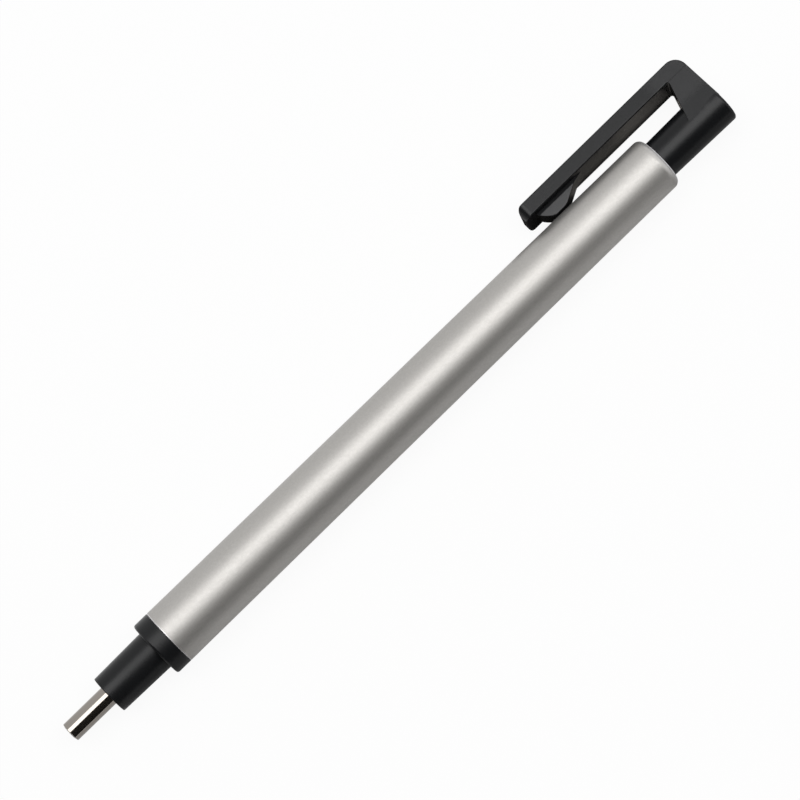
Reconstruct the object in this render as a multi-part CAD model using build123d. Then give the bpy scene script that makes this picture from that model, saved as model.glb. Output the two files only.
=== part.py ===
from build123d import *
import os
from math import asin, atan2, cos, degrees, hypot, pi, radians, sin, sqrt, tan

# Click eraser holder with a slim stick eraser, lying on its side as on a desk.
# +X runs along the pen from the tip to the knob and +Z is up. The origin is the
# centre of the eraser's rubbing face. Lengths are millimetres, angles degrees.

os.makedirs("parts", exist_ok=True)

# Eraser stick
eraser_diameter = 2.3
eraser_length = 87.0
eraser_proud = 0.1
eraser_edge_break = 0.08

# Guide pipe, a turned steel tube with a thicker shank inside the nose and a flange at its root
pipe_diameter = 3.0
pipe_wall = 0.3
pipe_reach = 7.4
pipe_shank = 4.5
pipe_shank_diameter = 3.5
pipe_root_diameter = 4.0
pipe_root_thickness = 0.6
pipe_lip_break = 0.06

# Nose and its collar
nose_length = 8.9
nose_front_diameter = 6.0
nose_rear_diameter = 6.3
nose_front_round = 0.12
nose_lip = 0.12
collar_length = 2.55
collar_front_round = 0.35
collar_rear_break = 0.06

# Barrel, moulded with draft and closed by a rounded shoulder
barrel_length = 94.95
barrel_front_diameter = 8.9
barrel_rear_diameter = 8.4
barrel_wall = 0.95
barrel_front_break = 0.08
barrel_shoulder_radius = 1.18
barrel_shoulder_thickness = 1.2
barrel_mouth_diameter = 6.2

# Rubber ring that keeps a cut stick from sliding out
retainer_thickness = 1.4
retainer_grip_gap = 0.04

# Clutch: split chuck and the ring that closes it
knock_stroke = 4.0
chuck_front_gap = 1.5
chuck_head_diameter = 4.3
chuck_head_length = 1.5
chuck_cone_length = 2.0
chuck_arm_diameter = 3.5
chuck_bore_gap = 0.03
chuck_arm_length = 8.0
chuck_slit = 0.3
chuck_neck_gap = 0.05
chuck_opening = 1.5
chuck_front_break = 0.15
jaw_count = 3
tooth_count = 4
tooth_pitch = 0.6
tooth_width = 0.3
tooth_depth = 0.12
ring_diameter = 5.8
ring_length = 3.0
ring_step = 0.2
ring_cone_gap = 0.03
ring_bore_gap = 0.25
ring_travel = 1.2
ring_edge_break = 0.15
ring_guide_gap = 0.05
cavity_gap = 0.15

# Sleeve that seats the spring and backs the ring
sleeve_insert = 1.8
sleeve_seat = 2.0
sleeve_seat_gap = 0.35
sleeve_spring_gap = 0.22

# Return spring
spring_turns = 8
spring_wire = 0.35
spring_coil_diameter = 4.5
spring_end_gap = 0.05
spring_wire_sides = 8

# Chuck stem, coupler and inner tube
stem_insert = 3.0
stem_bore_gap = 0.15
spring_length = 10.0
coupler_length = 8.0
coupler_web = 1.0
tube_diameter = 4.56
tube_wall = 0.83
tube_tail = 6.0
stop_collar_length = 2.0

# Knob and clip, one moulding
knob_reach = 11.95
knob_front_diameter = 5.98
knob_rear_diameter = 6.36
knob_back_wall = 2.9
knob_rear_round = 0.45
knob_lead_in = 0.2
clip_width = 6.4
clip_inner_reach = 6.38
clip_thickness = 2.22
clip_length = 31.42
clip_droop = 0.1
clip_tip_round = 1.2
clip_tip_corner = 1.4
clip_tip_inner_round = 0.4
clip_back_round = 2.0
clip_back_lean = 0.2
clip_edge_round = 0.2
web_inset = 0.08
web_length_at_clip = 3.6
web_length_at_knob = 5.76
web_corner_round = 0.3
pad_width = 3.5
pad_front = 1.8
pad_front_run = 2.0
pad_nose_shares = (0.375, 0.43)
pad_flat = 2.0
pad_heel_radius = 2.5
pad_ramp_angle = 28.5
pad_toe_drop = 0.4
pad_toe_angle = 12.0
pad_toe_radius = 2.5
pad_barrel_gap = 0.06
pad_edge_round = 0.12

# Clearances
slide_gap = 0.08
seat_gap = 0.03
face_gap = 0.05
overrun = 1.0

# Stations along the pen
pipe_front = eraser_proud
nose_front = pipe_front + pipe_reach
collar_front = nose_front + nose_length
barrel_front = collar_front + collar_length
barrel_rear = barrel_front + barrel_length
knob_rear = barrel_rear + knob_reach
shank_front = nose_front + nose_lip
pipe_seat = nose_front + pipe_shank
retainer_front = pipe_seat + pipe_root_thickness
retainer_rear = retainer_front + retainer_thickness
chuck_front = retainer_rear + chuck_front_gap + knock_stroke
cone_front = chuck_front + chuck_head_length
cone_rear = cone_front + chuck_cone_length
jaw_rear = cone_rear + chuck_arm_length
ring_front = cone_front + ring_step
sleeve_front = ring_front + ring_length
nose_rear = sleeve_front + sleeve_insert
spring_front = sleeve_front + sleeve_seat
coupler_front = spring_front + spring_length
coupler_rear = coupler_front + coupler_length
sleeve_rear = coupler_front - knock_stroke - face_gap
stem_front = jaw_rear + chuck_neck_gap
stem_rear = coupler_front + stem_insert
tube_front = stem_rear + coupler_web
stop_rear = barrel_rear - barrel_shoulder_thickness
stop_front = stop_rear - stop_collar_length
tube_rear = stop_rear + tube_tail
knob_bore_rear = knob_rear - knob_back_wall
clip_front = knob_rear - clip_length

# Radii that several pieces share
eraser_radius = eraser_diameter / 2
pipe_radius = pipe_diameter / 2
shank_radius = pipe_shank_diameter / 2
barrel_front_radius = barrel_front_diameter / 2
barrel_rear_radius = barrel_rear_diameter / 2
barrel_bore = barrel_front_radius - barrel_wall
spigot_radius = barrel_bore - seat_gap
head_radius = chuck_head_diameter / 2
arm_radius = chuck_arm_diameter / 2
grip_radius = eraser_radius + chuck_bore_gap
ring_radius = ring_diameter / 2
ring_room = ring_radius + ring_guide_gap
swing = (jaw_rear - chuck_front) * tan(radians(chuck_opening))
cavity_radius = head_radius + swing + cavity_gap
spring_radius = spring_coil_diameter / 2
spring_room = spring_radius + spring_wire / 2 + sleeve_spring_gap
guide_radius = barrel_bore - slide_gap
tube_radius = tube_diameter / 2
socket_radius = tube_radius + seat_gap
clip_outer_reach = clip_inner_reach + clip_thickness


def turned(outline):
    """A solid of revolution about the pen's axis from (x, radius) points."""
    face = make_face(Polyline(*outline, close=True))
    return revolve(face, Axis.X)


def ring_edge(solid, x, radius, slack=0.02):
    """The circular edge of a turned solid at a station and a radius."""
    found = []
    for edge in solid.edges().filter_by(GeomType.CIRCLE):
        centre = edge.arc_center
        if abs(centre.X - x) < slack and abs(edge.radius - radius) < slack:
            found.append(edge)
    return found


def rounded(solid, x, radius, size):
    """Round the circular edge at a station and a radius."""
    return fillet(ring_edge(solid, x, radius), size)


def broken(solid, x, radius, size):
    """Break the circular edge at a station and a radius with a small chamfer."""
    return chamfer(ring_edge(solid, x, radius), size)


def eraser_stick():
    stick = turned([(0, 0), (0, eraser_radius), (eraser_length, eraser_radius), (eraser_length, 0)])
    stick = broken(stick, 0, eraser_radius, eraser_edge_break)
    return broken(stick, eraser_length, eraser_radius, eraser_edge_break)


def guide_pipe():
    root_radius = pipe_root_diameter / 2
    bore = pipe_radius - pipe_wall
    pipe = turned([
        (pipe_front, bore),
        (pipe_front, pipe_radius),
        (shank_front, pipe_radius),
        (shank_front, shank_radius),
        (pipe_seat, shank_radius),
        (pipe_seat, root_radius),
        (retainer_front, root_radius),
        (retainer_front, bore),
    ])
    return broken(pipe, pipe_front, pipe_radius, pipe_lip_break)


def nose_cone():
    front_radius = nose_front_diameter / 2
    rear_radius = nose_rear_diameter / 2
    pocket_radius = pipe_root_diameter / 2 + seat_gap
    ring_stop = ring_front - ring_travel
    outline = [
        (nose_front, pipe_radius + seat_gap),
        (nose_front, front_radius),
        (collar_front, rear_radius),
        (collar_front, barrel_front_radius),
        (barrel_front, barrel_front_radius),
        (barrel_front, spigot_radius),
        (nose_rear, spigot_radius),
        (nose_rear, ring_room),
        (ring_stop, ring_room),
        (ring_stop, cavity_radius),
        (retainer_rear, cavity_radius),
        (retainer_rear, pocket_radius),
        (pipe_seat, pocket_radius),
        (pipe_seat, shank_radius + seat_gap),
        (shank_front, shank_radius + seat_gap),
        (shank_front, pipe_radius + seat_gap),
    ]
    nose = turned(outline)
    nose = rounded(nose, nose_front, front_radius, nose_front_round)
    nose = rounded(nose, collar_front, barrel_front_radius, collar_front_round)
    return broken(nose, barrel_front, barrel_front_radius, collar_rear_break)


def eraser_retainer():
    outer = pipe_root_diameter / 2
    bore = eraser_radius + retainer_grip_gap
    return turned([(retainer_front, bore), (retainer_front, outer), (retainer_rear, outer),
                   (retainer_rear, bore)])


def barrel():
    mouth = barrel_mouth_diameter / 2
    shell = turned([
        (barrel_front, barrel_bore),
        (barrel_front, barrel_front_radius),
        (barrel_rear, barrel_rear_radius),
        (barrel_rear, mouth),
        (stop_rear, mouth),
        (stop_rear, barrel_bore),
    ])
    shell = broken(shell, barrel_front, barrel_front_radius, barrel_front_break)
    shoulder = min(barrel_shoulder_radius, 0.98 * (barrel_rear_radius - mouth))
    return rounded(shell, barrel_rear, barrel_rear_radius, shoulder)


def chuck_jaws():
    """The split head and arms of the chuck, one solid for each jaw."""
    body = turned([
        (chuck_front, grip_radius),
        (chuck_front, head_radius),
        (cone_front, head_radius),
        (cone_rear, arm_radius),
        (jaw_rear, arm_radius),
        (jaw_rear, grip_radius),
    ])
    body = broken(body, chuck_front, head_radius, chuck_front_break)
    for tooth in range(tooth_count):
        start = chuck_front + tooth_width + tooth * tooth_pitch
        middle = start + tooth_width / 2
        body -= turned([(start, grip_radius - overrun), (start, grip_radius),
                        (middle, grip_radius + tooth_depth), (start + tooth_width, grip_radius),
                        (start + tooth_width, grip_radius - overrun)])
    length = jaw_rear - chuck_front
    middle = (jaw_rear + chuck_front) / 2
    for slit in range(jaw_count):
        cut = Pos(middle, 0, head_radius / 2) * Box(length + overrun, chuck_slit, head_radius + overrun)
        cut = Pos(0, 0, overrun / 2) * cut
        body -= Rot((slit + 0.5) * 360 / jaw_count, 0, 0) * cut
    turn = 360 / jaw_count

    def bearing(solid):
        middle_point = solid.center(CenterOf.MASS)
        angle = degrees(atan2(-middle_point.Y, middle_point.Z)) % 360
        return round(angle / turn) % jaw_count

    return sorted(body.solids(), key=bearing)


def chuck_stem():
    bore = eraser_radius + stem_bore_gap
    return turned([(stem_front, bore), (stem_front, arm_radius), (stem_rear, arm_radius),
                   (stem_rear, bore)])


def clutch_ring():
    slope = (head_radius - arm_radius) / chuck_cone_length
    front_bore = head_radius - ring_step * slope + ring_cone_gap
    bore = arm_radius + ring_bore_gap
    cone = (front_bore - bore) / slope
    ring = turned([
        (ring_front, front_bore),
        (ring_front, ring_radius),
        (sleeve_front, ring_radius),
        (sleeve_front, bore),
        (ring_front + cone, bore),
    ])
    ring = broken(ring, ring_front, ring_radius, ring_edge_break)
    return broken(ring, sleeve_front, ring_radius, ring_edge_break)


def mechanism_sleeve():
    lip = arm_radius + sleeve_seat_gap
    plug = ring_room - seat_gap
    return turned([
        (sleeve_front, lip),
        (sleeve_front, plug),
        (nose_rear, plug),
        (nose_rear, spigot_radius),
        (sleeve_rear, spigot_radius),
        (sleeve_rear, spring_room),
        (spring_front, spring_room),
        (spring_front, lip),
    ])


def helix_point(angle, start, pitch, radius):
    return Vector(start + pitch * angle / (2 * pi), radius * cos(angle), radius * sin(angle))


def helix_heading(angle, pitch, radius):
    return Vector(pitch / (2 * pi), -radius * sin(angle), radius * cos(angle)).normalized()


def helix_path(start, end, turns, radius):
    """A helix along the pen as pairs of tangent arcs, one pair for each quarter turn."""
    pitch = (end - start) / turns
    quarters = 4 * turns
    arcs = []
    for quarter in range(quarters):
        angle_a = quarter * pi / 2
        angle_b = angle_a + pi / 2
        a = helix_point(angle_a, start, pitch, radius)
        b = helix_point(angle_b, start, pitch, radius)
        heading_a = helix_heading(angle_a, pitch, radius)
        heading_b = helix_heading(angle_b, pitch, radius)
        chord = b - a
        both = heading_a + heading_b
        spread = 2 * (1 - heading_a.dot(heading_b))
        along = chord.dot(both)
        reach = (sqrt(along * along + spread * chord.dot(chord)) - along) / spread
        corner_a = a + heading_a * reach
        corner_b = b - heading_b * reach
        join = (corner_a + corner_b) * 0.5
        across = (corner_b - corner_a).normalized()
        arcs.append(TangentArc(a, join, tangent=heading_a))
        arcs.append(TangentArc(join, b, tangent=across))
    return Wire(arcs)


def return_spring():
    start = spring_front + spring_end_gap + spring_wire / 2
    end = coupler_front - spring_end_gap - spring_wire / 2
    path = helix_path(start, end, spring_turns, spring_radius)
    points = [path @ (step / (48 * spring_turns)) for step in range(48 * spring_turns + 1)]
    half_turn = 24
    least = min(
        (points[i] - points[j]).length
        for i in range(len(points))
        for j in range(i + half_turn, len(points))
    )
    print("return spring: least gap to itself", round(least - spring_wire, 3), "mm")
    section = Plane(origin=path @ 0, z_dir=path % 0) * RegularPolygon(spring_wire / 2, spring_wire_sides)
    return sweep(section, path=path)


def tube_coupler():
    front_bore = arm_radius + seat_gap
    web_bore = eraser_radius + stem_bore_gap
    return turned([
        (coupler_front, front_bore),
        (coupler_front, guide_radius),
        (coupler_rear, guide_radius),
        (coupler_rear, socket_radius),
        (tube_front, socket_radius),
        (tube_front, web_bore),
        (stem_rear, web_bore),
        (stem_rear, front_bore),
    ])


def inner_tube():
    bore = tube_radius - tube_wall
    return turned([
        (tube_front, bore),
        (tube_front, tube_radius),
        (stop_front, tube_radius),
        (stop_front, guide_radius),
        (stop_rear, guide_radius),
        (stop_rear, tube_radius),
        (tube_rear, tube_radius),
        (tube_rear, bore),
    ])


def clip_face():
    """Side outline of the arm and web, x along the pen and y away from its axis."""
    tip = clip_front
    inner = clip_inner_reach
    outer = clip_outer_reach
    back = knob_rear
    web_top = back - web_length_at_clip
    web_foot = back - web_length_at_knob
    tip_inner = inner - clip_droop
    tip_outer = outer - clip_droop
    back_top = back - clip_back_lean
    face = make_face(Polyline((tip, tip_inner), (tip, tip_outer), (back_top, outer), (back, 0),
                              (web_foot, 0), (web_top, inner), close=True))
    rounds = [
        (tip, tip_inner, clip_tip_inner_round),
        (tip, tip_outer, min(clip_tip_round, clip_thickness - clip_tip_inner_round - seat_gap)),
        (back_top, outer, clip_back_round),
        (web_top, inner, web_corner_round),
    ]
    for x, y, size in rounds:
        corner = face.vertices().sort_by(lambda v: hypot(v.X - x, v.Y - y))[0]
        face = fillet(corner, size)
    return face


def pad_face():
    """The grip pad under the free end: round in front, with a ramp behind that flattens out."""
    inner = clip_inner_reach
    start = clip_front + pad_front
    bottom_start = start + pad_front_run
    bottom_end = bottom_start + pad_flat
    bottom = barrel_radius_at(bottom_start) + pad_barrel_gap
    drop = inner - bottom
    toe_start = bottom_end + (drop - pad_toe_drop) / tan(radians(pad_ramp_angle))
    foot = toe_start + pad_toe_drop / tan(radians(pad_toe_angle))
    root = inner + clip_thickness / 4
    along_share, up_share = pad_nose_shares
    belly = (start + pad_front_run * along_share, bottom + drop * up_share)
    outline = Curve() + [
        ThreePointArc((start, inner), belly, (bottom_start, bottom)),
        Polyline((bottom_start, bottom), (bottom_end, bottom), (toe_start, inner - pad_toe_drop),
                 (foot, inner), (foot, root), (start, root), (start, inner)),
    ]
    face = make_face(outline)
    rounds = [
        (bottom_end, bottom, pad_heel_radius),
        (toe_start, inner - pad_toe_drop, pad_toe_radius),
    ]
    for x, y, size in rounds:
        corner = face.vertices().sort_by(lambda v: hypot(v.X - x, v.Y - y))[0]
        face = fillet(corner, size)
    return face


def barrel_radius_at(x):
    share = (x - barrel_front) / barrel_length
    return barrel_front_radius + (barrel_rear_radius - barrel_front_radius) * share


def lying_roll():
    """How far the clip turns down until its outer edge meets the desk, in degrees."""
    out = clip_outer_reach - clip_edge_round
    side = clip_width / 2 - clip_edge_round
    return degrees(asin((barrel_front_radius - clip_edge_round) / hypot(out, side)) - atan2(side, out))


def knob_clip():
    slope = (knob_rear_diameter - knob_front_diameter) / 2 / knob_reach
    front_radius = knob_front_diameter / 2 - slope * (barrel_rear - stop_rear)
    rear_radius = knob_rear_diameter / 2
    shaft = turned([
        (stop_rear, 0),
        (stop_rear, front_radius),
        (knob_rear, rear_radius),
        (knob_rear, 0),
    ])
    shaft = rounded(shaft, knob_rear, rear_radius, knob_rear_round)
    shaft = chamfer(ring_edge(shaft, stop_rear, front_radius), knob_lead_in)
    half_width = clip_width / 2
    blade = extrude(clip_face(), half_width, both=True)
    sides = blade.edges().filter_by(lambda e: abs(abs(e.center().Z) - half_width) < seat_gap)
    sides = sides.filter_by(lambda e: e.center().Y > seat_gap)
    blade = fillet(sides, clip_edge_round)
    plan = Pos(knob_rear, 0, 0) * Box(2 * clip_length, 2 * (clip_outer_reach + overrun), clip_width)
    tip_posts = plan.edges().filter_by(Axis.Y).sort_by(Axis.X)[:2]
    blade &= fillet(tip_posts, clip_tip_corner)
    relief = Pos(knob_rear, clip_inner_reach / 2, half_width) * Box(
        2 * (web_length_at_knob + overrun), clip_inner_reach, 2 * web_inset)
    blade -= relief
    blade -= mirror(relief, Plane.XY)
    blade += extrude(pad_face(), pad_width / 2, both=True)
    pad_sides = blade.edges().filter_by(lambda e: abs(abs(e.center().Z) - pad_width / 2) < seat_gap)
    pad_sides = pad_sides.filter_by(lambda e: e.center().Y < clip_inner_reach - seat_gap)
    blade = fillet(pad_sides, pad_edge_round)
    solid = shaft + blade
    bore = turned([(stop_rear - overrun, 0), (stop_rear - overrun, socket_radius),
                   (knob_bore_rear, socket_radius), (knob_bore_rear, 0)])
    solid -= bore
    return Rot(-lying_roll(), 0, 0) * solid


pieces = {
    "eraser_stick": eraser_stick(),
    "guide_pipe": guide_pipe(),
    "nose_cone": nose_cone(),
    "eraser_retainer": eraser_retainer(),
    "barrel": barrel(),
    "clutch_ring": clutch_ring(),
    "mechanism_sleeve": mechanism_sleeve(),
    "chuck_stem": chuck_stem(),
    "return_spring": return_spring(),
    "tube_coupler": tube_coupler(),
    "inner_tube": inner_tube(),
    "knob_clip": knob_clip(),
}
for number, jaw in enumerate(chuck_jaws(), start=1):
    pieces[f"chuck_jaw_{number}"] = jaw
for name, solid in pieces.items():
    export_step(solid, f"parts/{name}.step")
print("roll", round(lying_roll(), 3))
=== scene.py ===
import bmesh
import bpy
from math import atan2, cos, hypot, pi, radians, sin
from mathutils import Matrix, Vector


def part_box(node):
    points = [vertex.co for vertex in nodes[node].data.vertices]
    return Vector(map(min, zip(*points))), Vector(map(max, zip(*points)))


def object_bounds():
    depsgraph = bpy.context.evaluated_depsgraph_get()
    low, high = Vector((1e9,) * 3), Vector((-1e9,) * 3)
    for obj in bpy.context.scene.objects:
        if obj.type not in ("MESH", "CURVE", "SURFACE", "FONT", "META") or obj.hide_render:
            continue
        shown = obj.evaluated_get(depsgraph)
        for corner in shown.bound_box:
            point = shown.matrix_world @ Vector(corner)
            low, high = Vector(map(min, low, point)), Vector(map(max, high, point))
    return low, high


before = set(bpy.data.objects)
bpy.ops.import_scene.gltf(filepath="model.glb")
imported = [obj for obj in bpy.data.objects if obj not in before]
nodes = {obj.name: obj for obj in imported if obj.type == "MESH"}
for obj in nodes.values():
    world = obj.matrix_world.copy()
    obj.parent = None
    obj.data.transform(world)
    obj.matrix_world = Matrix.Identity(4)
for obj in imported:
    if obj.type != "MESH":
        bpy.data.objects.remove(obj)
cad_low, cad_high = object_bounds()

# Eraser stick
# A slim round stick of white elastomer, extruded and cut square. It is held by the
# clutch, and only its rubbing end stands out of the pipe, a little greyed by use.


class Wire:
    """An output of a shader node. Sums with wires add Math nodes to its material."""

    def __init__(self, tree, socket=None):
        self.tree = tree
        self.socket = socket

    def node(self, kind, settings, values, output=0):
        """Add a node: its settings first, then the values or wires of its sockets."""
        made = self.tree.nodes.new("ShaderNode" + kind)
        for name, value in settings.items():
            setattr(made, name, value)
        for name, value in values.items():
            if isinstance(value, Wire):
                self.tree.links.new(value.socket, made.inputs[name])
            else:
                made.inputs[name].default_value = value
        return Wire(self.tree, made.outputs[output] if made.outputs else None)

    def math(self, operation, first, second):
        return self.node("Math", {"operation": operation}, {0: first, 1: second})

    def __add__(self, other):
        return self.math("ADD", self, other)

    def __radd__(self, other):
        return self.math("ADD", other, self)

    def __sub__(self, other):
        return self.math("SUBTRACT", self, other)

    def __rsub__(self, other):
        return self.math("SUBTRACT", other, self)

    def __mul__(self, other):
        return self.math("MULTIPLY", self, other)

    def __rmul__(self, other):
        return self.math("MULTIPLY", other, self)

    def size(self):
        """This value without its sign."""
        return self.math("ABSOLUTE", self, 0.0)

    def mix(self, first, second):
        """Blend two colours, with this wire as the share of the second.

        The node has A, B and Result once for each type, so its sockets go by number.
        """
        colours = {0: self, 6: first, 7: second}
        return self.node("Mix", {"data_type": "RGBA"}, colours, 2)

    def noise(self, scale, detail=2.0, roughness=0.5):
        """Noise about 0.5 on this wire's coordinates; scale is in grains per metre."""
        values = {"Vector": self, "Scale": scale, "Detail": detail, "Roughness": roughness}
        return self.node("TexNoise", {}, values)

    def stretched(self, along, across):
        """These coordinates scaled along the pen and across it."""
        return self.node("Mapping", {}, {"Vector": self, "Scale": (along, across, across)})

    def between(self, low, high):
        """This value carried from low..high to 0..1, clamped and eased."""
        settings = {"interpolation_type": "SMOOTHSTEP"}
        return self.node("MapRange", settings, {"Value": self, "From Min": low, "From Max": high})

    def bump(self, depth):
        """A normal from this height; depth is in metres."""
        return self.node("Bump", {}, {"Height": self, "Distance": depth})

    def axis(self, letter):
        return self.node("SeparateXYZ", {}, {0: self}, letter)


def new_finish(name):
    """An empty material and the first wire in it, the object coordinates."""
    material = bpy.data.materials.new(name)
    material.use_nodes = True
    material.node_tree.nodes.clear()
    place = Wire(material.node_tree).node("TexCoord", {}, {}, "Object")
    return material, place


def shaded(place, sockets):
    """End a material in its shader, then in its output."""
    shader = place.node("BsdfPrincipled", {}, sockets)
    place.node("OutputMaterial", {}, {"Surface": shader})


def dress(material, *names):
    """Give CAD nodes a material in their own slots."""
    for name in names:
        for slot in nodes[name].material_slots:
            slot.material = material


ERASER_WHITE = (0.86, 0.855, 0.83, 1)
ERASER_SHADE = (0.80, 0.79, 0.75, 1)
RUBBED_GREY = (0.52, 0.52, 0.51, 1)
ERASER_CLOUDS = 700
ERASER_SKIN = 14000
ERASER_SKIN_DEPTH = 0.000012
ERASER_GLOSS_PATCHES = 3000
ERASER_MATT = 0.55
ERASER_MATT_SPREAD = 0.16
RUBBED_END = 0.0007
RUBBED_PATCHES = 2400
RUBBED_CRUMBS = 6000
RUBBED_SHARE = 0.6

elastomer, place = new_finish("white_elastomer")
body_tone = place.noise(ERASER_CLOUDS, 4).mix(ERASER_WHITE, ERASER_SHADE)
rubbed_end = 1 - place.axis("X").between(0, RUBBED_END)
rubbed = rubbed_end * place.noise(RUBBED_PATCHES, 4).between(0.35, 0.7)
skin = place.noise(ERASER_SKIN, 3) + rubbed * place.noise(RUBBED_CRUMBS, 4)
shaded(place, {
    "Base Color": (rubbed * RUBBED_SHARE).mix(body_tone, RUBBED_GREY),
    "Roughness": place.noise(ERASER_GLOSS_PATCHES, 2) * ERASER_MATT_SPREAD + ERASER_MATT,
    "Normal": skin.bump(ERASER_SKIN_DEPTH),
})
dress(elastomer, "eraser_stick")

# Guide pipe
# Turned steel, polished bright, pressed into the nose from behind. The polishing
# leaves lines so fine along the pipe that they only streak its reflections.
STEEL_LIGHT = (0.315, 0.292, 0.268, 1)
STEEL_DARK = (0.255, 0.232, 0.207, 1)
STEEL_LINES = 9000
STEEL_LINE_STRETCH = 0.015
STEEL_LINE_DEPTH = 0.0000012
STEEL_SMUDGES = 420
STEEL_POLISH = 0.035
STEEL_LINE_MATT = 0.03
STEEL_SMUDGE_MATT = 0.02

steel, place = new_finish("polished_steel")
lines = place.stretched(STEEL_LINE_STRETCH, 1).noise(STEEL_LINES, 3, 0.6)
smudge = place.noise(STEEL_SMUDGES, 3).between(0.45, 0.75)
shaded(place, {
    "Base Color": lines.mix(STEEL_LIGHT, STEEL_DARK),
    "Metallic": 1.0,
    "Roughness": lines * STEEL_LINE_MATT + smudge * STEEL_SMUDGE_MATT + STEEL_POLISH,
    "Normal": lines.bump(STEEL_LINE_DEPTH),
})
dress(steel, "guide_pipe")

# Rubber ring
# A soft black ring behind the pipe. It drags on the stick, so that a cut stick
# doesn't fall out when the clutch is open.
RUBBER_BLACK = (0.022, 0.022, 0.022, 1)
RUBBER_BLOOM = (0.036, 0.035, 0.034, 1)
RUBBER_CLOUDS = 900
RUBBER_PATCHES = 2500
RUBBER_GRAIN = 9000
RUBBER_GRAIN_DEPTH = 0.00001
RUBBER_MATT = 0.65
RUBBER_MATT_SPREAD = 0.2

rubber, place = new_finish("soft_rubber")
shaded(place, {
    "Base Color": place.noise(RUBBER_CLOUDS, 3).mix(RUBBER_BLACK, RUBBER_BLOOM),
    "Roughness": place.noise(RUBBER_PATCHES, 3) * RUBBER_MATT_SPREAD + RUBBER_MATT,
    "Normal": place.noise(RUBBER_GRAIN, 4).bump(RUBBER_GRAIN_DEPTH),
})
dress(rubber, "eraser_retainer")

# Nose
# Moulded in black plastic with its collar, in a finely spark-eroded mould, so it
# shines softly. Fingers have polished it a little towards the front edge.
NOSE_BLACK = (0.0055, 0.006, 0.0068, 1)
NOSE_WORN = (0.0085, 0.0088, 0.0095, 1)
NOSE_GLOSS = 0.22
NOSE_SATIN = 0.27
NOSE_WORN_LENGTH = 0.006
MOULD_GRAIN = 15000
MOULD_GRAIN_DEPTH = 0.000004
MOULD_GRAIN_MATT = 0.08
MOULD_CLOUDS = 1500
MOULD_CLOUD_MATT = 0.06
MOULD_POLISH = 0.08
# Painted sheen: the lighter grey that the polished parts turn to.
PAINTED_SHEEN_GREY = (0.05, 0.05, 0.052, 1)
BURNISHED_POLISH = 0.1
RECESS_DULLING = 0.6


def black_moulding(place, front, worn_length, satin, polish_and_sheen=None, recess=None):
    """Black satin plastic, polished by use behind a front edge.

    The two masks come together. The first polishes parts of it and paints a sheen on them in a
    lighter grey; the second dulls parts of it.
    """
    grain = place.noise(MOULD_GRAIN, 3, 0.6)
    cloud = place.noise(MOULD_CLOUDS, 3)
    polish = (1 - place.axis("X").between(front, front + worn_length)) * cloud
    colour = (cloud * 0.7 + polish * 0.3).mix(NOSE_BLACK, NOSE_WORN)
    roughness = grain * MOULD_GRAIN_MATT + cloud * MOULD_CLOUD_MATT - polish * MOULD_POLISH + satin
    if polish_and_sheen:
        # Painted sheen: the masked parts turn a lighter grey.
        colour = polish_and_sheen.mix(colour, PAINTED_SHEEN_GREY)
        roughness = roughness - polish_and_sheen * BURNISHED_POLISH + recess * RECESS_DULLING
    shaded(place, {
        "Base Color": colour,
        "Roughness": roughness,
        "Specular IOR Level": NOSE_GLOSS,
        "Normal": grain.bump(MOULD_GRAIN_DEPTH),
    })


nose_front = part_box("nose_cone")[0].x
nose_black, place = new_finish("nose_black")
black_moulding(place, nose_front, NOSE_WORN_LENGTH, NOSE_SATIN)
dress(nose_black, "nose_cone")

# Clutch
# A split chuck in tough white plastic with three jaws, closed by a brass ring that
# was turned from bar.
CHUCK_WHITE = (0.80, 0.80, 0.77, 1)
CHUCK_SHADE = (0.70, 0.70, 0.66, 1)
BRASS_LIGHT = (0.74, 0.56, 0.29, 1)
BRASS_DARK = (0.60, 0.43, 0.20, 1)
CHUCK_SATIN = 0.35
FLOW_CLOUDS = 800
FLOW_STRETCH = 0.4
FLOW_MATT = 0.12
FLOW_GRAIN = 12000
FLOW_GRAIN_DEPTH = 0.000004
TURNING_RINGS = 16000
TURNING_STRETCH = 0.04
TURNING_DEPTH = 0.000003
TURNING_MATT = 0.12
BRASS_POLISH = 0.2


def pale_moulding(name, light, dark, roughness):
    """Unpainted pale plastic with faint flow clouds."""
    material, place = new_finish(name)
    cloud = place.stretched(FLOW_STRETCH, 1).noise(FLOW_CLOUDS, 4)
    shaded(place, {
        "Base Color": cloud.mix(light, dark),
        "Roughness": cloud * FLOW_MATT + roughness,
        "Normal": place.noise(FLOW_GRAIN, 2).bump(FLOW_GRAIN_DEPTH),
    })
    return material


chuck_names = ("chuck_jaw_1", "chuck_jaw_2", "chuck_jaw_3", "chuck_stem")
chuck_white = pale_moulding("chuck_white", CHUCK_WHITE, CHUCK_SHADE, CHUCK_SATIN)
dress(chuck_white, *chuck_names)

brass, place = new_finish("turned_brass")
turning = place.stretched(1, TURNING_STRETCH).noise(TURNING_RINGS, 2)
shaded(place, {
    "Base Color": turning.mix(BRASS_LIGHT, BRASS_DARK),
    "Metallic": 1.0,
    "Roughness": turning * TURNING_MATT + BRASS_POLISH,
    "Normal": turning.bump(TURNING_DEPTH),
})
dress(brass, "clutch_ring")

# Sleeve, coupler and inner tube
# Natural plastic, unpainted because the barrel hides them. The tube carries spare
# stick and joins the chuck to the knob.
NATURAL_LIGHT = (0.78, 0.78, 0.74, 1)
NATURAL_SHADE = (0.69, 0.69, 0.64, 1)
NATURAL_SATIN = 0.42

natural = pale_moulding("natural_plastic", NATURAL_LIGHT, NATURAL_SHADE, NATURAL_SATIN)
dress(natural, "mechanism_sleeve", "tube_coupler", "inner_tube")

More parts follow.
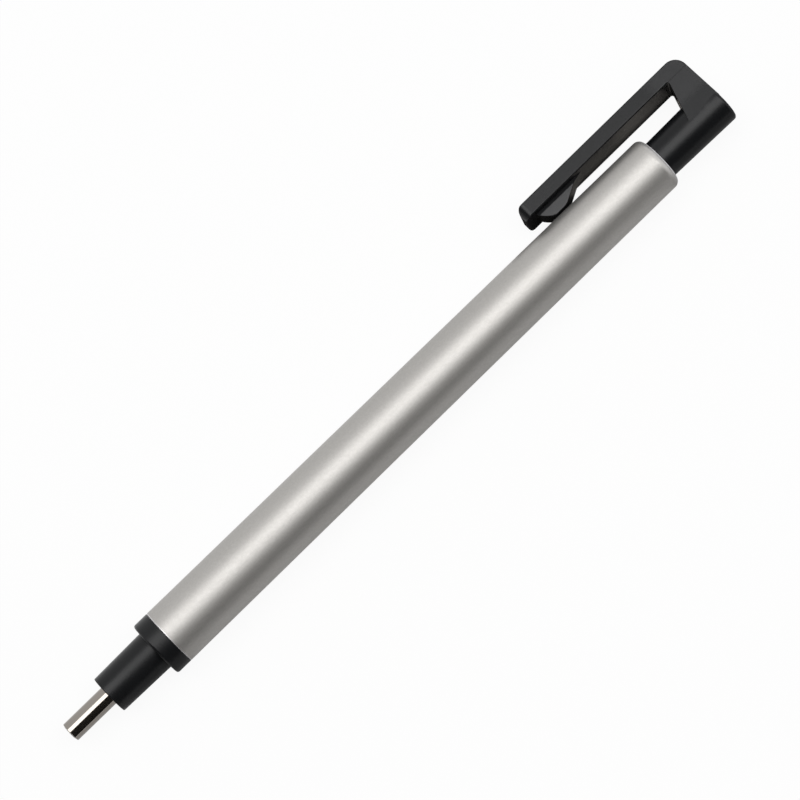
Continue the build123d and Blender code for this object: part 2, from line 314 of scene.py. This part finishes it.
# Return spring
# Eight turns of hard drawn steel wire, grey from the drawing soap.
WIRE_LIGHT = (0.50, 0.50, 0.51, 1)
WIRE_DARK = (0.36, 0.36, 0.37, 1)
WIRE_SOAP = 5000
WIRE_SOAP_MATT = 0.2
WIRE_GRAIN = 20000
WIRE_GRAIN_DEPTH = 0.000002
WIRE_POLISH = 0.25

wire_finish, place = new_finish("drawn_wire")
drawn = place.noise(WIRE_SOAP, 4)
shaded(place, {
    "Base Color": drawn.mix(WIRE_LIGHT, WIRE_DARK),
    "Metallic": 1.0,
    "Roughness": drawn * WIRE_SOAP_MATT + WIRE_POLISH,
    "Normal": place.noise(WIRE_GRAIN, 2).bump(WIRE_GRAIN_DEPTH),
})
dress(wire_finish, "return_spring")

# Barrel
# A drafted moulding painted satin silver. The flakes in the paint give it a fine grain.
# It is rubbed smoother at both ends. Both ends also carry a painted highlight: near white
# on the front edge and on the rear lip, which is not metal there, and a lighter silver on
# the rear shoulder.
SILVER_LIGHT = (0.445, 0.433, 0.416, 1)
SILVER_DARK = (0.385, 0.373, 0.357, 1)
# Painted highlight: a lighter silver on the rear shoulder, and near white on the two edges.
SILVER_SHOULDER_HIGHLIGHT = (0.60, 0.59, 0.58, 1)
SILVER_EDGE_HIGHLIGHT = (0.98, 0.97, 1.0, 1)
SILVER_METAL = 0.87
SILVER_SATIN = 0.44
SILVER_EDGE_POLISH = 0.12
FLAKES = 9000
FLAKE_MATT = 0.06
PAINT_MIST = 2600
PAINT_MIST_MATT = 0.04
PAINT_PEEL = 1300
PAINT_DEPTH = 0.000005
EDGE_WEAR_AND_HIGHLIGHT = 0.6
EDGE_WEAR_AND_HIGHLIGHT_SPREAD = 0.5
FRONT_WEAR_AND_HIGHLIGHT = 0.00022
REAR_HIGHLIGHT_WIDTH = 0.00025
SHOULDER_HIGHLIGHT_WIDTH = 0.001

barrel_low, barrel_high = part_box("barrel")
silver, place = new_finish("satin_silver")
flakes = place.noise(FLAKES, 3, 0.7)
mist = place.noise(PAINT_MIST, 2)
peel = place.noise(PAINT_PEEL, 2)
along = place.axis("X")
# Painted highlight at both ends, partly also real wear at the front edge. The rear lip is not metal,
# so its near white shows as a bright ring.
front_wear_and_highlight = 1 - along.between(barrel_low.x, barrel_low.x + FRONT_WEAR_AND_HIGHLIGHT)
rear_highlight = along.between(barrel_high.x - REAR_HIGHLIGHT_WIDTH, barrel_high.x - REAR_HIGHLIGHT_WIDTH / 2)
shoulder_highlight = along.between(barrel_high.x - SHOULDER_HIGHLIGHT_WIDTH, barrel_high.x - REAR_HIGHLIGHT_WIDTH)
wear_and_highlight = (front_wear_and_highlight + rear_highlight) * (mist * EDGE_WEAR_AND_HIGHLIGHT_SPREAD + EDGE_WEAR_AND_HIGHLIGHT)
grain_matt = flakes * FLAKE_MATT + mist * PAINT_MIST_MATT
paint = (flakes * 0.7 + mist * 0.3).between(0.3, 0.7).mix(SILVER_LIGHT, SILVER_DARK)
shaded(place, {
    "Base Color": wear_and_highlight.mix(shoulder_highlight.mix(paint, SILVER_SHOULDER_HIGHLIGHT), SILVER_EDGE_HIGHLIGHT),
    "Metallic": (1 - rear_highlight) * SILVER_METAL,
    "Roughness": grain_matt - wear_and_highlight * SILVER_EDGE_POLISH + SILVER_SATIN,
    "Normal": (flakes * 0.25 + peel * 0.75).bump(PAINT_DEPTH),
})
dress(silver, "barrel")

# Knob and clip
# One black moulding pressed on the inner tube. The clip's edge lies on the desk, and
# its pad all but touches the barrel. Pocket edges have polished the pad's two flanks
# smoother, and they carry a painted sheen in a lighter grey. The web and the clip's end
# carry a fainter painted sheen and are a little smoother. The roll is in degrees.
KNOB_SATIN = 0.22
CLIP_ROLL = 8.802
CLIP_WORN_LENGTH = 0.008
CLIP_UNDERSIDE = 0.00626
PAD_FLANK = 0.00169
PAD_TOP = 0.0042
PAD_ROOT = 0.00583
PAD_END = 0.0125
SOFT_EDGE = 0.00002
# Painted sheen on the web and the clip's end: where it lies and its share of the grey.
WEB_SHEEN_LENGTH = 0.0075
WEB_SHEEN_EDGE = 0.003
WEB_SHEEN_FROM = 0.002
WEB_SHEEN_SHARE = 0.36


def past(value, line):
    """1 where a value is past a line and 0 before it, with a soft edge."""
    return value.between(line, line + SOFT_EDGE)


clip_low, clip_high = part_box("knob_clip")
knob_black, place = new_finish("knob_black")
roll_back = {"Vector": place, "Angle": radians(CLIP_ROLL)}
level = place.node("VectorRotate", {"rotation_type": "X_AXIS"}, roll_back)
along = place.axis("X")
outward = level.axis("Y")
sideways = level.axis("Z").size()
beside = past(sideways, PAD_FLANK) * past(outward, PAD_TOP)
beside = beside * (1 - past(along, clip_low.x + PAD_END))
rooted = past(outward, PAD_ROOT)
flank = beside * (1 - rooted)
recess = beside * rooted * (1 - past(outward, CLIP_UNDERSIDE))
# Painted sheen on the web and the clip's end.
web_sheen_start = clip_high.x - WEB_SHEEN_LENGTH
web_sheen = along.between(web_sheen_start, web_sheen_start + WEB_SHEEN_EDGE)
web_sheen = web_sheen * outward.between(WEB_SHEEN_FROM, WEB_SHEEN_FROM + WEB_SHEEN_EDGE / 2)
# Polish and painted sheen on the pad's flanks, with a fainter share on the web.
polish_and_sheen = flank + web_sheen * WEB_SHEEN_SHARE
black_moulding(place, clip_low.x, CLIP_WORN_LENGTH, KNOB_SATIN, polish_and_sheen, recess)
dress(knob_black, "knob_clip")

# Desk and background
# A pale plain desk under the pen. It shows white to the camera and in polished
# metal, and it keeps the pen's shadow.
DESK_SIZE = 6.0
DESK_PALE = (0.90, 0.90, 0.90, 1)
WHITE = (1, 1, 1, 1)
DESK_GLOW = 0.93
DESK_GAP = 0.00002
ROOM_FILL = 0.5


def seen_directly(wire):
    """1 for rays from the camera or from a mirror or glass, 0 for scattered light."""
    rays = wire.tree.nodes.new("ShaderNodeLightPath")
    camera, glossy, through = (
        Wire(wire.tree, rays.outputs[name])
        for name in ("Is Camera Ray", "Is Glossy Ray", "Is Transmission Ray")
    )
    return camera + glossy + through


desk_paint, place = new_finish("desk_pale")
seen = seen_directly(place)
plain = place.node("BsdfDiffuse", {}, {"Color": DESK_PALE})
glow = place.node("Emission", {}, {"Color": WHITE, "Strength": 1.0})
desk_shader = place.node("MixShader", {}, {0: seen * DESK_GLOW, 1: plain, 2: glow})
place.node("OutputMaterial", {}, {"Surface": desk_shader})


def stage_card(name, size_x, size_y, place_matrix, material):
    """A flat card for the stage, which isn't part of the pen."""
    mesh = bpy.data.meshes.new(name)
    card = bmesh.new()
    bmesh.ops.create_grid(card, x_segments=1, y_segments=1, size=0.5)
    bmesh.ops.scale(card, vec=(size_x, size_y, 1), verts=card.verts)
    bmesh.ops.transform(card, matrix=place_matrix, verts=card.verts)
    card.to_mesh(mesh)
    card.free()
    mesh.materials.append(material)
    obj = bpy.data.objects.new(name, mesh)
    bpy.context.scene.collection.objects.link(obj)
    return obj


desk_level = cad_low[2] - DESK_GAP
desk_place = Matrix.Translation(((cad_low[0] + cad_high[0]) / 2, 0, desk_level))
stage_card("desk", DESK_SIZE, DESK_SIZE, desk_place, desk_paint)

world = bpy.data.worlds.new("white_room")
bpy.context.scene.world = world
world.use_nodes = True
world.node_tree.nodes.clear()
room = Wire(world.node_tree)
strength = seen_directly(room) * (1 - ROOM_FILL) + ROOM_FILL
backdrop = room.node("Background", {}, {"Color": WHITE, "Strength": strength})
room.node("OutputWorld", {}, {"Surface": backdrop})

# Lights
# One wide soft light hangs level overhead, square to the picture. A black card slopes
# away below it, and gives the round parts their dark band. The turn is in degrees.
PICTURE_TURN = 44.17
SOFTBOX_HEIGHT = 1.2
SOFTBOX_NEAR = -0.095
SOFTBOX_FAR = 0.57
SOFTBOX_LENGTH = 1.8
SOFTBOX_RADIANCE = 3.3
CARD_END = -0.9
CARD_END_HEIGHT = 0.10
CARD_LENGTH = 3.2
CARD_BLACK = (0.05, 0.047, 0.044, 1)


def over_picture(up, height, slope=0.0):
    """A place over the pen in the picture's own directions, level or sloped."""
    turn = Matrix.Rotation(-radians(PICTURE_TURN), 4, "Z")
    return turn @ Matrix.Translation((0, up, height)) @ Matrix.Rotation(slope, 4, "X")


lamp_data = bpy.data.lights.new("softbox", "AREA")
lamp_data.shape = "RECTANGLE"
lamp_data.size = SOFTBOX_LENGTH
lamp_data.size_y = SOFTBOX_FAR - SOFTBOX_NEAR
lamp_data.energy = SOFTBOX_RADIANCE * pi * lamp_data.size * lamp_data.size_y
lamp = bpy.data.objects.new("softbox", lamp_data)
bpy.context.scene.collection.objects.link(lamp)
lamp.matrix_world = over_picture((SOFTBOX_NEAR + SOFTBOX_FAR) / 2, SOFTBOX_HEIGHT)
lamp.visible_camera = False


def matt_paper(name, colour):
    """Paper without any shine, for the cards and sheets of the stage."""
    paper, place = new_finish(name)
    shaded(place, {"Base Color": colour, "Roughness": 1.0, "Specular IOR Level": 0.0})
    return paper


card_across = SOFTBOX_NEAR - CARD_END
card_rise = SOFTBOX_HEIGHT - CARD_END_HEIGHT
card_up = (SOFTBOX_NEAR + CARD_END) / 2
card_height = (SOFTBOX_HEIGHT + CARD_END_HEIGHT) / 2
card_place = over_picture(card_up, card_height, atan2(card_rise, card_across))
card_paper = matt_paper("card_black", CARD_BLACK)
card = stage_card("dark_card", CARD_LENGTH, hypot(card_across, card_rise), card_place, card_paper)
card.visible_camera = False

# Under cards
# Sheets lie on the desk along the pen's near side, pale beside the metal and grey
# beside the black parts. Others lie below the clip, darkest beside its edge and its
# pad. Only reflections show them. They are painted shade of the desk under the pen,
# and the darkest are a painted contact shadow of the clip.
PALE_SHEET = (0.78, 0.78, 0.78, 1)
GREY_SHEET = (0.43, 0.43, 0.43, 1)
CLIP_SHEET = (0.68, 0.64, 0.59, 1)
SHEET_WIDTH = 0.3
SHEET_GAP = 0.00001
CLIP_SHEET_MARGIN = 0.004
CLIP_SHADE = (0.06, 0.057, 0.054, 1)
CLIP_SHADE_START = 0.0052
PAD_SHADE_LENGTH = 0.0085


def under_card(name, colour, low_x, high_x, low_y, high_y):
    """A sheet on the desk that neither the camera nor the shadows see."""
    centre = Matrix.Translation(((low_x + high_x) / 2, (low_y + high_y) / 2, desk_level + SHEET_GAP))
    paper = matt_paper(name + "_paper", colour)
    sheet = stage_card(name, high_x - low_x, high_y - low_y, centre, paper)
    sheet.visible_camera = False
    sheet.visible_shadow = False
    sheet.visible_diffuse = False


# Painted shade of the desk, seen only in the pen's reflections.
near_start = cad_low[0] - SHEET_WIDTH
near_sheets = (
    (PALE_SHEET, nose_front),
    (GREY_SHEET, barrel_low.x),
    (PALE_SHEET, barrel_high.x),
    (GREY_SHEET, cad_high[0] + SHEET_WIDTH),
)
for number, (colour, near_end) in enumerate(near_sheets, 1):
    under_card(f"near_sheet_{number}", colour, near_start, near_end, -SHEET_WIDTH, 0)
    near_start = near_end

shade_start = clip_low.x - CLIP_SHEET_MARGIN
pad_shade_end = clip_low.x + PAD_SHADE_LENGTH
clip_sheet_end = clip_high.x + CLIP_SHEET_MARGIN
far_side = clip_high.y + CLIP_SHEET_MARGIN
# Painted contact shadow of the clip and its pad, seen only in their reflections.
under_card("pad_shade", CLIP_SHADE, shade_start, pad_shade_end, 0, CLIP_SHADE_START)
under_card("clip_sheet", CLIP_SHEET, pad_shade_end, clip_sheet_end, 0, CLIP_SHADE_START)
under_card("clip_shade", CLIP_SHADE, shade_start, clip_sheet_end, CLIP_SHADE_START, far_side)

# Camera
# It looks down on the pen from above its front half, as the photograph does. The
# spin is in radians.
CAMERA_PLACE = Vector((0.0416024, -0.0684146, 0.5615534))
CAMERA_AIM = Vector((0.0646968, 0.0012537, 0.0))
CAMERA_SPIN = 0.7708
SENSOR = 36.0
LENS = 183.845
NEAREST_SEEN = 0.01

forward = (CAMERA_AIM - CAMERA_PLACE).normalized()
pen_axis = Vector((1, 0, 0))
right = (pen_axis - forward * pen_axis.dot(forward)).normalized()
down = forward.cross(right)
picture_right = right * cos(CAMERA_SPIN) + down * sin(CAMERA_SPIN)
picture_down = down * cos(CAMERA_SPIN) - right * sin(CAMERA_SPIN)
camera_data = bpy.data.cameras.new("camera")
camera_data.sensor_width = SENSOR
camera_data.lens = LENS
camera_data.clip_start = NEAREST_SEEN
camera = bpy.data.objects.new("camera", camera_data)
bpy.context.scene.collection.objects.link(camera)
turned = Matrix((picture_right, -picture_down, -forward)).transposed().to_4x4()
turned.translation = CAMERA_PLACE
camera.matrix_world = turned
bpy.context.scene.camera = camera
bpy.context.scene.view_settings.view_transform = "Standard"
